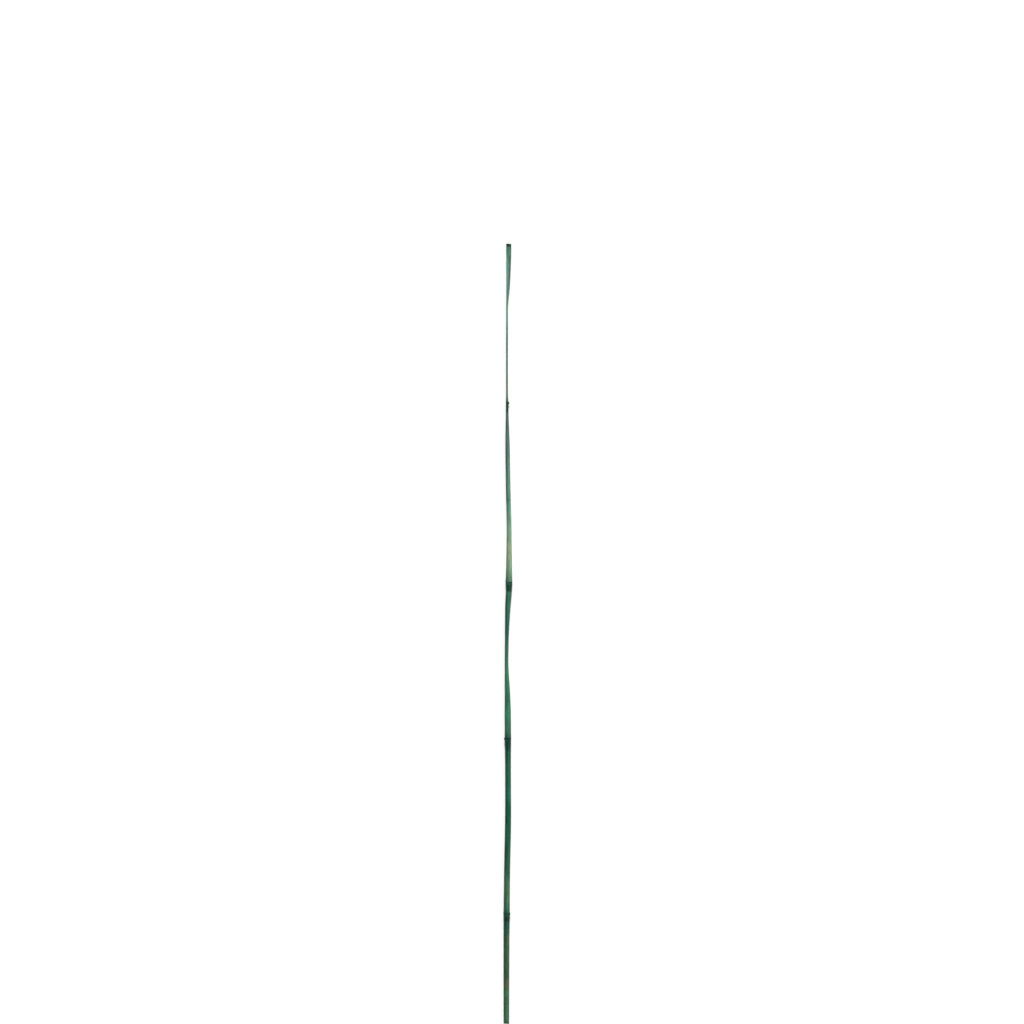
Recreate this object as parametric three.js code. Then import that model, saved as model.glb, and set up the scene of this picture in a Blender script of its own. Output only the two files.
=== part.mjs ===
// A bamboo garden cane, dyed green and cut to length at both ends. Millimetres, +Z up.
// It lies along +Y, with its thick butt end at -Y and its thin tip end at +Y, and rests on z = 0.
// The whole cane is one piece, as it grew: there is nothing on it that could be taken off.

import * as THREE from "three";

const LENGTH = 900; // from the butt cut to the tip cut
const SIDES = 24; // flats round the stem
const SECTION_STEP = 12; // longest stretch of plain stem between two sections

// The joints of the stem. at: distance from the butt. ring: how strongly its rings stand out.
// branch: the side its branch was trimmed off, in degrees from the top, positive towards +X.
// stub: what is left of that branch. lift: how far the joint stays clear of the ground.
const JOINTS = [
  { at: 125, ring: 0.85, branch: 78, stub: 0.4, lift: 0 },
  { at: 327, ring: 0.9, branch: -80, stub: 0.4, lift: 0.5 },
  { at: 508, ring: 1, branch: -25, stub: 0.55, lift: 0 },
  { at: 715, ring: 0.6, branch: 84, stub: 0.75, lift: 0 },
];
const END_LIFT = 0.9; // the cut ends stay clear of the ground by this

// One joint in profile: [distance from the joint, height above the stem]. The sharp scar of the
// fallen sheath is on the butt side, and the rounded ridge of the joint is on the tip side.
const RIDGE_AT = 1.5;
const JOINT_PROFILE = [
  [-9, 0],
  [-4, 0.05],
  [-1.9, 0.12],
  [-1.3, 0.34],
  [-0.7, 0.32],
  [-0.3, 0.14],
  [0.6, 0.26],
  [RIDGE_AT, 0.42],
  [2.4, 0.38],
  [3.6, 0.16],
  [6, 0.04],
  [10, 0],
];

// The plain stem, as calliper readings: [distance from the butt, size]. The stem is thin-walled
// wood that shrank as it dried, so two stretches of it are much narrower than they are deep.
const WIDTH = [
  [0, 6.5],
  [90, 6.8],
  [135, 7.2],
  [220, 7.1],
  [290, 6.7],
  [355, 7.5],
  [385, 6.3],
  [418, 4.5],
  [440, 4.6],
  [495, 6.8],
  [512, 7.4],
  [550, 6.2],
  [590, 5.6],
  [665, 5.2],
  [700, 3.7],
  [735, 2.4],
  [826, 2.4],
  [858, 4.5],
  [900, 6],
];
const DEPTH = [
  [0, 6.6],
  [200, 6.9],
  [430, 6.7],
  [600, 6.2],
  [780, 5.8],
  [900, 5.7],
];

// How far the middle of the stem wanders sideways from a straight line.
const SIDE_BEND = [
  [0, 0],
  [90, 0.1],
  [170, 0.8],
  [250, 2],
  [320, 1.8],
  [370, 1.35],
  [418, 0.2],
  [450, 0.6],
  [480, 1.6],
  [505, 3],
  [560, 3.2],
  [640, 1.7],
  [735, 0.8],
  [826, 0.8],
  [856, 2],
  [900, 2.7],
];

// The hollow of the cut stem at each end, open at the cut: its bore and how far in it goes.
const BUTT_HOLLOW = { bore: 2.6, depth: 110 };
const TIP_HOLLOW = { bore: 2, depth: 24 };
const CUT_EDGE = 0.25; // broken edge round each cut
const CUT_REACH = 10; // the saw went through slightly askew: this much of each end leans
const BUTT_CUT_SLOPE = -0.15; // millimetres along for each millimetre across
const TIP_CUT_SLOPE = -0.06;

const STUB_REACH = 2.6; // trimmed branch: half its length along the stem
const STUB_SPREAD = 38; // and half its spread round it, in degrees
const CHANNEL_START = 3; // above each branch the stem is flattened, from here
const CHANNEL_END = 90; // to here, counted from the joint
const CHANNEL_DEPTH = 0.2;

// The value of a list of readings at one place, on a smooth line that never overshoots them.
function along(readings, place) {
  const last = readings.length - 1;
  const run = (i) => readings[i + 1][0] - readings[i][0];
  const rise = (i) => readings[i + 1][1] - readings[i][1];
  const tangent = (i) => {
    if (i === 0 || i === last) return 0;
    const before = rise(i - 1) / run(i - 1);
    const after = rise(i) / run(i);
    return before * after <= 0 ? 0 : (2 * before * after) / (before + after);
  };
  const s = THREE.MathUtils.clamp(place, readings[0][0], readings[last][0]);
  let i = 0;
  while (i < last - 1 && s > readings[i + 1][0]) i++;
  const t = (s - readings[i][0]) / run(i);
  const leaving = t * (1 - t) ** 2 * run(i) * tangent(i);
  const arriving = t ** 2 * (t - 1) * run(i) * tangent(i + 1);
  return readings[i][1] + rise(i) * t * t * (3 - 2 * t) + leaving + arriving;
}

// Height of the joints' rings above the plain stem.
function ringHeight(s) {
  const [first, end] = [JOINT_PROFILE[0][0], JOINT_PROFILE.at(-1)[0]];
  const near = JOINTS.find((joint) => s - joint.at > first && s - joint.at < end);
  return near ? near.ring * along(JOINT_PROFILE, s - near.at) : 0;
}

// What each branch left on its side of the stem: the trimmed stub, and a flattened channel above it.
function branchRelief(s, angle) {
  let relief = 0;
  for (const joint of JOINTS) {
    const turn = THREE.MathUtils.euclideanModulo(angle - joint.branch + 180, 360) - 180;
    const above = s - joint.at;
    const stubRound = Math.max(0, 1 - (turn / STUB_SPREAD) ** 2);
    const stubAlong = Math.max(0, 1 - ((above - RIDGE_AT) / STUB_REACH) ** 2);
    relief += joint.stub * stubRound * stubAlong;
    const facing = Math.max(0, Math.cos(THREE.MathUtils.degToRad(turn))) ** 3;
    const share = THREE.MathUtils.clamp(
      (above - CHANNEL_START) / (CHANNEL_END - CHANNEL_START),
      0,
      1,
    );
    relief -= CHANNEL_DEPTH * facing * Math.sin(Math.PI * share);
  }
  return relief;
}

// Height of the middle of the stem, so that the rings of the joints are what touches the ground.
const CENTRE_HEIGHT = [
  [0, along(DEPTH, 0) / 2 + END_LIFT],
  ...JOINTS.map(({ at, lift }) => {
    const ridge = at + RIDGE_AT;
    return [ridge, along(DEPTH, ridge) / 2 + ringHeight(ridge) + lift];
  }),
  [LENGTH, along(DEPTH, LENGTH) / 2 + END_LIFT],
];

// Places along the cane where its section is drawn: close at the joints, wider between them.
function sectionPlaces() {
  const joints = JOINTS.flatMap(({ at }) => JOINT_PROFILE.map(([offset]) => at + offset));
  const fixed = [CUT_EDGE, ...joints, LENGTH - CUT_EDGE];
  const places = [fixed[0]];
  fixed.slice(1).forEach((end, i) => {
    const steps = Math.ceil((end - fixed[i]) / SECTION_STEP);
    for (let k = 1; k <= steps; k++) {
      places.push(THREE.MathUtils.lerp(fixed[i], end, k / steps));
    }
  });
  return places;
}

// The cane as if turned on a lathe, along +Y with a skin of radius 1 and a hollow in each end.
function turnedCane() {
  const edge = 1 - (2 * CUT_EDGE) / along(WIDTH, 0);
  const buttBore = BUTT_HOLLOW.bore / along(WIDTH, 0);
  const tipBore = TIP_HOLLOW.bore / along(WIDTH, LENGTH);
  const tipHollowEnd = LENGTH - TIP_HOLLOW.depth;
  const profile = [
    new THREE.Vector2(0, BUTT_HOLLOW.depth),
    new THREE.Vector2(buttBore * 0.7, BUTT_HOLLOW.depth - 1),
    new THREE.Vector2(buttBore, BUTT_HOLLOW.depth / 2),
    new THREE.Vector2(buttBore, 0),
    new THREE.Vector2(edge, 0),
    ...sectionPlaces().map((s) => new THREE.Vector2(1, s)),
    new THREE.Vector2(edge, LENGTH),
    new THREE.Vector2(tipBore, LENGTH),
    new THREE.Vector2(tipBore * 0.9, LENGTH - TIP_HOLLOW.depth / 2),
    new THREE.Vector2(tipBore * 0.6, tipHollowEnd + 1),
    new THREE.Vector2(0, tipHollowEnd),
  ];
  return new THREE.LatheGeometry(profile, SIDES);
}

// How far the askew cut moves a point of the stem along it, for each millimetre across.
function cutSlope(s) {
  const butt = BUTT_CUT_SLOPE * Math.max(0, 1 - s / CUT_REACH);
  const tip = TIP_CUT_SLOPE * Math.max(0, 1 - (LENGTH - s) / CUT_REACH);
  return butt + tip;
}

// Gives each section of the turned cane its own width, depth, relief and place.
function shapedCane() {
  const geometry = turnedCane();
  const position = geometry.getAttribute("position");
  for (let i = 0; i < position.count; i++) {
    const [turnedX, s, turnedZ] = [position.getX(i), position.getY(i), position.getZ(i)];
    const radius = Math.hypot(turnedX, turnedZ); // 1 on the skin, less in the cuts and hollows
    const turn = Math.atan2(turnedX, turnedZ);
    const angle = THREE.MathUtils.radToDeg(turn);
    const relief = radius > 0.99 ? ringHeight(s) + branchRelief(s, angle) : 0;
    const x = Math.sin(turn) * ((radius * along(WIDTH, s)) / 2 + relief);
    const z = Math.cos(turn) * ((radius * along(DEPTH, s)) / 2 + relief);
    position.setXYZ(
      i,
      x + along(SIDE_BEND, s),
      s + cutSlope(s) * x,
      z + along(CENTRE_HEIGHT, s),
    );
  }
  return geometry;
}

// Sets the cane down with the middle of its underside at the origin.
function setDown(geometry) {
  geometry.computeBoundingBox();
  const { min, max } = geometry.boundingBox;
  geometry.translate(-(min.x + max.x) / 2, -(min.y + max.y) / 2, -min.z);
  geometry.computeVertexNormals();
  return geometry;
}

const dyedBamboo = new THREE.MeshStandardMaterial({
  color: 0x3f7f63,
  roughness: 0.45,
  metalness: 0,
});

const cane = new THREE.Mesh(setDown(shapedCane()), dyedBamboo);
cane.name = "bamboo_cane";

const part = new THREE.Group();
part.name = "bamboo garden cane";
part.add(cane);

export default part;
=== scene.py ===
"""A bamboo garden cane, dyed green and cut to length, on a pale floor in soft studio light."""

import math

import bpy
import numpy as np
from bpy.props import FloatProperty, FloatVectorProperty, IntProperty, PointerProperty
from bpy.types import Operator, Panel, PropertyGroup
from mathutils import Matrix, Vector


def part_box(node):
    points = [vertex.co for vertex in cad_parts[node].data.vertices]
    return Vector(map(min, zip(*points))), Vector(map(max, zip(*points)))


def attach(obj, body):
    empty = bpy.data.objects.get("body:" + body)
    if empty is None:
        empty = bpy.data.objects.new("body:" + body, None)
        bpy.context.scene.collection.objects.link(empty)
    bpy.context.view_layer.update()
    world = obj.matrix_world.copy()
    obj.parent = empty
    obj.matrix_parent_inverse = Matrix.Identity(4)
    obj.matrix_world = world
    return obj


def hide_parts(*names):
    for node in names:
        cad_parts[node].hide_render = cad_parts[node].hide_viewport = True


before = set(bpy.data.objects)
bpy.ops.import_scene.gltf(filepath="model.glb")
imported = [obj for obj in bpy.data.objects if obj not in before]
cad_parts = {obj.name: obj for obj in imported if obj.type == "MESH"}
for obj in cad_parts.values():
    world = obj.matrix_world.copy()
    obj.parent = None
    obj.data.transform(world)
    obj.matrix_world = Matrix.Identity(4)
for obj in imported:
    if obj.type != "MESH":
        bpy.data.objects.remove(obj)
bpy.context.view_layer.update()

bl_info = {
    "name": "Bamboo Garden Cane",
    "version": (1, 0, 0),
    "blender": (4, 5, 0),
    "location": "3D View > Sidebar > Cane",
    "description": "Builds a dyed bamboo cane with its joints, trimmed branches and cut ends",
    "category": "Add Mesh",
}

MM = 0.001
NODE = "bamboo_cane"
CANE_LOW, CANE_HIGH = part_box(NODE)
LENGTH = 900.0  # butt cut to tip cut, in millimetres like all the readings below
STEM_RADIUS = 3.4  # the stem before it gets its own width and depth at each section
SKIN, CUT, HOLLOW = 0, 1, 2  # the cane's material slots

# The joints: distance from the butt, strength of the rings, side and height of the trimmed
# branch (degrees from the top, positive towards +X), how far the joint stays off the floor, and
# the side where its rings stand out most and sit a little nearer the tip.
JOINTS = (
    {"at": 125.0, "ring": 0.85, "branch": 78.0, "stub": 0.2, "lift": 0.0, "flare": 180.0},
    {"at": 327.0, "ring": 0.9, "branch": -80.0, "stub": 0.25, "lift": 0.5, "flare": -150.0},
    {"at": 508.0, "ring": 1.0, "branch": -25.0, "stub": 0.55, "lift": 0.0, "flare": -95.0},
    {"at": 715.0, "ring": 0.6, "branch": 84.0, "stub": 0.75, "lift": 0.0, "flare": 80.0},
)
# The dark stain of each joint: how strong, how far it reaches below and above the joint, and how
# much pale wax lies in the groove.
STAINS = (
    {"strength": 0.8, "below": 7.5, "above": 3.2, "wax": 0.25},
    {"strength": 0.97, "below": 11.5, "above": 3.2, "wax": 0.05},
    {"strength": 0.95, "below": 10.0, "above": 2.0, "wax": 1.0},
    {"strength": 0.9, "below": 10.5, "above": 1.6, "wax": 0.3},
)
JOINT_REACH = 60.0  # the marks of a joint are worked out this far either side of it
END_LIFT = 0.9  # how far the cut ends stay off the floor
RIDGE_AT = 1.5  # the round ridge, from the middle of its joint

# One joint in profile: distance from it, and height above the stem. The scar of the fallen sheath
# has a thin sharp lip on the butt side, and the ridge on the tip side is round.
JOINT_PROFILE = (
    (-9.0, 0.0),
    (-4.0, 0.05),
    (-2.0, 0.12),
    (-1.45, 0.2),
    (-1.2, 0.36),
    (-0.95, 0.37),
    (-0.7, 0.2),
    (-0.35, 0.1),
    (0.1, 0.12),
    (0.6, 0.26),
    (1.5, 0.42),
    (2.4, 0.37),
    (3.6, 0.16),
    (6.0, 0.04),
    (10.0, 0.0),
)

# The plain stem as calliper readings: distance from the butt, and size.
WIDTH = (
    (0, 6.5),
    (90, 6.8),
    (135, 7.2),
    (220, 7.1),
    (290, 6.7),
    (355, 7.5),
    (385, 6.3),
    (418, 4.5),
    (440, 4.6),
    (495, 6.8),
    (512, 7.4),
    (550, 6.2),
    (590, 5.6),
    (665, 5.2),
    (700, 3.7),
    (735, 2.4),
    (826, 2.4),
    (858, 4.5),
    (900, 6.0),
)
DEPTH = ((0, 6.6), (200, 6.9), (430, 6.7), (600, 6.2), (780, 5.8), (900, 5.7))
SIDE_BEND = (
    (0, 0.0),
    (90, 0.1),
    (170, 0.8),
    (250, 2.0),
    (320, 1.8),
    (370, 1.35),
    (418, 0.2),
    (450, 0.6),
    (480, 1.6),
    (505, 3.0),
    (560, 3.2),
    (640, 1.7),
    (735, 0.8),
    (826, 0.8),
    (856, 2.0),
    (900, 2.7),
)

# The dye along the stem: distance from the butt, and the colour there.
DYE_STRETCHES = (
    (30, "butt_green"),
    (46, "olive_green"),
    (90, "olive_green"),
    (112, "shaded_green"),
    (134, "joint_green"),
    (150, "moss_green"),
    (174, "dull_green"),
    (205, "deep_green"),
    (246, "bottle_green"),
    (268, "sea_green"),
    (300, "deep_green"),
    (322, "shaded_green"),
    (338, "joint_green"),
    (352, "grass_green"),
    (405, "grass_green"),
    (430, "steady_green"),
    (455, "shaded_green"),
    (492, "steady_green"),
    (514, "soft_green"),
    (526, "pale_green"),
    (545, "straw_green"),
    (562, "pale_green"),
    (594, "mint_green"),
    (614, "fresh_green"),
    (655, "slate_green"),
    (700, "slate_green"),
    (731, "dusty_green"),
    (760, "faded_green"),
    (790, "faded_green"),
    (818, "thin_green"),
    (834, "mint_green"),
    (900, "mint_green"),
)

# Places where the colour differs on one side only: distance from the butt, side (degrees from the
# top, positive towards +X), half the length, half the spread in degrees, and how strong it is.
BROWN_PATCHES = (
    (46, 25, 7, 80, 1.0),
    (73, 0, 22, 110, 0.3),
    (97, 60, 10, 60, 0.85),
    (529, 62, 14, 16, 0.9),
    (547, 5, 10, 14, 0.8),
    (536, -40, 11, 14, 0.8),
    (560, 35, 12, 40, 0.6),
)
MOSS_PATCHES = (
    (150, 45, 18, 65, 0.9),
    (340, -20, 8, 60, 0.3),
    (563, 0, 14, 90, 0.5),
)
# Darker places. The long ones on the -X side, turned -60 to -75 from the top, are painted shade
# along the side away from the light; the rest are dark dye.
DARK_AND_SHADED_PATCHES = (
    (20, -72, 20, 38, 1.1),
    (75, -75, 34, 35, 1.1),
    (190, -70, 34, 40, 0.7),
    (240, -60, 22, 50, 0.6),
    (300, -75, 26, 35, 0.6),
    (440, -35, 10, 70, 0.45),
    (487, -75, 16, 35, 0.7),
    (495, 80, 12, 40, 0.9),
    (332, -75, 3, 40, 0.9),
    (512, -80, 5, 30, 0.9),
    (512, 80, 5, 25, 0.9),
    (612, -60, 16, 40, 0.8),
    (690, -40, 12, 60, 0.5),
    (714, -20, 7, 90, 1.0),
    (890, -27, 9, 11, 1.0),
    (876, 24, 26, 12, 0.75),
    (855, 58, 34, 45, 0.8),
)
# Lighter places. Those on the +X side, turned 45 to 50 from the top, are painted light on the side
# towards the light; the rest are paler dye.
LIGHT_AND_LIT_PATCHES = (
    (34, -10, 6, 70, 0.8),
    (264, 45, 14, 50, 0.8),
    (360, 0, 14, 70, 0.5),
    (596, 50, 18, 45, 0.8),
    (640, 50, 40, 45, 0.7),
    (870, -40, 22, 40, 0.7),
)
MOULD_PATCHES = (
    (119.5, -20, 3.4, 120, 1.0),
    (110, -30, 9, 60, 0.45),
    (500, 60, 4, 40, 0.6),
    (716, 75, 3, 30, 0.8),
    (899.5, 0, 2.6, 250, 1.0),
)
PRESSURE_LINES = (604.0, 688.0)  # fine dark lines across the skin, where something lay against it

BUTT_HOLLOW = 110.0  # how far each open hollow goes in
TIP_HOLLOW = 24.0
BUTT_RINGS = (104.0, 88.0, 70.0, 52.0, 36.0, 22.0, 12.0, 5.0, 1.5)  # sections of the butt hollow
TIP_RINGS = (1.5, 4.0, 8.0, 13.0, 18.0)  # and of the tip hollow, each from its own cut
HOLLOW_REACH = 1.35  # both hollows lie within this radius at their usual widths
CUT_EDGE = 0.22  # broken edge round each cut
RIM_ROUND = 0.07  # rounding of that edge
BORE_ROUND = 0.08  # and of the mouth of each hollow
CUT_REACH = 10.0  # the cuts are askew, and this much of each end leans with them
BUTT_CUT_SLOPE = -0.15  # millimetres along for each millimetre across
TIP_CUT_SLOPE = -0.06
SAW_REACH = 2.2  # how far from a cut the saw disturbed the wood
STUB_SIDEWAYS = 1.35  # half the width of a trimmed branch
STUB_LENGTHWISE = 1.7  # and half its length
CHANNEL_START, CHANNEL_END, CHANNEL_DEPTH = 3.0, 90.0, 0.2  # flattened stem above a branch
SWELL_HEIGHT = 0.035  # of the skin's slow waves
FOLD_HEIGHT = 0.13  # of the folds where the stem shrank

JOINT_NEAR = 5.2  # the finest sections, this far either side of a joint
JOINT_FAR = 11.0  # finer ones, this far either side
JOINT_STEP = 0.3  # between the finest sections
SHOULDER_STEP = 0.66  # between the finer ones
PLAIN_STEP = 2.6  # between sections of plain stem

# The cane's map, from 0 to 1 each way: the skin as strips side by side, and the rest beside them.
SKIN_STRIPS = 6
MAP_FILL = 0.98  # share of the map's height that a strip takes
MAP_EDGE = 0.01
STRIP_GAP = 0.004
DISC_IN, BUTT_DISC_UP, TIP_DISC_UP = 0.028, 0.04, 0.1  # middles of the two cut faces
BORE_UP, TIP_BORE_IN = 0.2, 0.065  # the corners of the two unrolled hollows
BUTT_BORE_WIDE, TIP_BORE_WIDE = 0.054, 0.036  # and their widths

FLOOR_SIZE = 40.0  # metres
LIGHT_AWAY = 3.0  # metres
LIGHT_DISC = 7.0  # degrees across, which softens the shadows
WALL_STRENGTH = 1.03  # of what lies beyond the floor
AIM_ACROSS, AIM_ALONG = 4.8, 140.4  # where the camera looks, from the middle of the cane
SENSOR = 36.0  # its width, in the millimetres of the lens


def linear(red, green, blue):
    """A colour given as it looks, from 0 to 255, in the numbers that light adds up in."""
    shares = np.array((red, green, blue)) / 255
    bright = ((shares + 0.055) / 1.055) ** 2.4
    return tuple(float(x) for x in np.where(shares <= 0.04045, shares / 12.92, bright))


def dye_colour(name, red, green, blue, description):
    return FloatVectorProperty(
        name=name,
        description=description,
        subtype="COLOR",
        size=3,
        min=0.0,
        max=1.0,
        default=linear(red, green, blue),
    )


def length_setting(name, default, low, high, description):
    """A length that is given in millimetres and kept in metres."""
    return FloatProperty(
        name=name,
        description=description,
        default=default * MM,
        min=low * MM,
        max=high * MM,
        unit="LENGTH",
        precision=5,
    )


def strength_setting(name, default, most, description):
    return FloatProperty(name=name, description=description, default=default, min=0.0, max=most)


# ------------------------------------------------------------------------------------------------
# Settings


class CaneSizes(PropertyGroup):
    sides: IntProperty(
        name="Sides", description="Flats round the stem", default=120, min=24, max=160
    )
    ring_strength: strength_setting(
        "Ring strength", 1.0, 2.0, "How far the rings of the joints stand out"
    )
    stub_strength: strength_setting(
        "Branch stubs", 1.0, 1.5, "How far the trimmed branches stand out"
    )
    butt_bore: length_setting(
        "Butt hollow", 2.6, 0.5, 4.5, "Width of the open hollow in the thick end"
    )
    tip_bore: length_setting(
        "Tip hollow", 2.0, 0.5, 3.0, "Width of the open hollow in the thin end"
    )
    rib_depth: length_setting(
        "Rib depth", 0.02, 0.0, 0.1, "Height of the fine lengthwise ribs of the skin"
    )
    furrow_depth: length_setting(
        "Furrow depth", 0.22, 0.0, 0.5, "Depth of the furrow where the stem shrank as it dried"
    )


class CaneColours(PropertyGroup):
    butt_green: dye_colour("Butt green", 55, 98, 70, "Skin at the thick end")
    olive_green: dye_colour("Olive green", 48, 83, 58, "Skin under the lowest joint")
    shaded_green: dye_colour("Shaded green", 25, 81, 66, "Darker stretches below a joint")
    joint_green: dye_colour("Joint green", 50, 99, 77, "Skin just above a joint")
    moss_green: dye_colour("Moss green", 64, 107, 80, "Yellowish skin of the second length")
    dull_green: dye_colour("Dull green", 36, 87, 61, "Dull skin of the second length")
    deep_green: dye_colour("Deep green", 27, 86, 63, "Well dyed skin")
    bottle_green: dye_colour("Bottle green", 3, 81, 59, "The darkest skin")
    sea_green: dye_colour("Sea green", 20, 89, 69, "Bluish skin under the second joint")
    grass_green: dye_colour("Grass green", 47, 111, 83, "Bright skin in the middle")
    steady_green: dye_colour("Steady green", 49, 106, 86, "Even skin in the middle")
    soft_green: dye_colour("Soft green", 92, 135, 103, "Skin just above the third joint")
    pale_green: dye_colour("Pale green", 128, 161, 132, "Thinly dyed skin")
    straw_green: dye_colour("Straw green", 135, 154, 123, "Skin with hardly any dye")
    mint_green: dye_colour("Mint green", 88, 136, 117, "Skin near the tip")
    fresh_green: dye_colour("Fresh green", 87, 134, 111, "Skin above the pale stretch")
    slate_green: dye_colour("Slate green", 76, 106, 96, "Skin of the shrunken stretch")
    faded_green: dye_colour("Faded green", 34, 98, 81, "Skin in the middle of the thin stretch")
    thin_green: dye_colour("Thin green", 94, 145, 130, "Skin at the upper end of the thin stretch")
    dusty_green: dye_colour("Dusty green", 56, 94, 78, "Dusty skin of the shrunken stretch")
    joint_stain: dye_colour("Joint stain", 0, 54, 41, "Dye that gathered at the joints")
    groove_wax: dye_colour("Groove wax", 88, 126, 106, "Wax in the groove of a joint")
    bare_brown: dye_colour("Bare brown", 104, 88, 56, "Brown skin that took no dye")
    bare_moss: dye_colour("Bare moss", 78, 122, 64, "Yellowish skin under thin dye")
    rubbed_skin: dye_colour("Rubbed skin", 138, 158, 132, "Skin with the dye rubbed off")
    speck: dye_colour("Speck", 16, 26, 20, "Spots of mould and dirt")
    cut_wood: dye_colour("Cut wood", 104, 112, 78, "Wood at the cuts, stained by dye")
    cut_fibre: dye_colour("Cut fibre", 46, 56, 36, "Ends of the fibre bundles")
    hollow_wall: dye_colour("Hollow wall", 84, 84, 60, "Pithy wall inside the cane")


class StageSettings(PropertyGroup):
    floor_colour: dye_colour("Floor", 248, 248, 247, "The pale floor")
    tip_strength: strength_setting(
        "Tip lights", 2.1, 20.0, "Strength of each of the two soft lights over the tip end"
    )
    butt_strength: strength_setting(
        "Butt light", 0.6, 20.0, "Strength of the soft light over the butt end"
    )
    side_strength: strength_setting(
        "Side light", 0.3, 20.0, "Strength of the weak light that gives the skin its gloss"
    )
    fill_strength: strength_setting(
        "Fill light", 0.16, 3.0, "Strength of the light from all round"
    )
    frame_width: FloatProperty(
        name="Width in view",
        description="How much of the floor the picture takes in, side to side",
        default=1.18305,
        min=0.1,
        max=10.0,
        unit="LENGTH",
    )
    lens: FloatProperty(
        name="Lens",
        description="Focal length of the camera",
        default=180.0,
        min=20.0,
        max=400.0,
        unit="CAMERA",
    )


# ------------------------------------------------------------------------------------------------
# Shape of the cane


def along(readings, places):
    """Readings taken along the cane, read off at places on a smooth line with no overshoot."""
    at, size = np.array(readings, float).T
    run, slope = np.diff(at), np.diff(size) / np.diff(at)
    before, after = slope[:-1], slope[1:]
    together = before * after > 0
    total = np.where(together, before + after, 1.0)
    inner = np.where(together, 2 * before * after / total, 0.0)
    tangent = np.concatenate(([0.0], inner, [0.0]))
    s = np.clip(places, at[0], at[-1])
    i = np.clip(np.searchsorted(at, s, side="left") - 1, 0, len(run) - 1)
    t = (s - at[i]) / run[i]
    rise = (size[i + 1] - size[i]) * t * t * (3 - 2 * t)
    leaving = t * (1 - t) ** 2 * run[i] * tangent[i]
    arriving = t * t * (t - 1) * run[i] * tangent[i + 1]
    return size[i] + rise + leaving + arriving


def centre_height(s):
    """Height of the middle of the stem, so that the rings touch the floor."""
    readings = [(0.0, float(along(DEPTH, 0.0)) / 2 + END_LIFT)]
    for joint in JOINTS:
        ridge = joint["at"] + RIDGE_AT
        ring = joint["ring"] * float(along(JOINT_PROFILE, RIDGE_AT))
        readings.append((ridge, float(along(DEPTH, ridge)) / 2 + ring + joint["lift"]))
    readings.append((LENGTH, float(along(DEPTH, LENGTH)) / 2 + END_LIFT))
    return along(readings, s)


def turn_from(turn, degrees):
    """How far round the stem a place is from a direction, in radians either way."""
    return (turn - math.radians(degrees) + math.pi) % (2 * math.pi) - math.pi


def joint_distance(s, turn, joint):
    """Distance past a joint. Its rings lean a little, dip under the branch and waver."""
    lean = 0.3 * np.cos(turn - math.radians(joint["flare"]))
    dip = 0.45 * np.exp(-((turn_from(turn, joint["branch"]) / 0.5) ** 2))
    waver = 0.07 * np.sin(5 * turn + joint["at"]) + 0.04 * np.sin(11 * turn + 2 * joint["at"])
    return s - joint["at"] - lean + dip + waver


def rib_waves(s, turn, counts, drift, seed):
    """Lengthwise ribs that wander slowly round the stem, between about -1 and 1."""
    draw = np.random.RandomState(seed)
    total = np.zeros_like(s)
    for count in counts:
        phase, wander, slow = draw.uniform(0, 2 * math.pi, 3)
        pace = draw.uniform(0.4, 1.0) * drift
        swing = 1.4 * np.sin(pace * s + wander)
        fade = 0.65 + 0.35 * np.sin(pace * 1.7 * s + slow)
        total += fade * np.sin(count * turn + phase + swing)
    return total / math.sqrt(len(counts))


def smooth_step(low, high, values):
    t = np.clip((values - low) / (high - low), 0.0, 1.0)
    return t * t * (3 - 2 * t)


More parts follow.
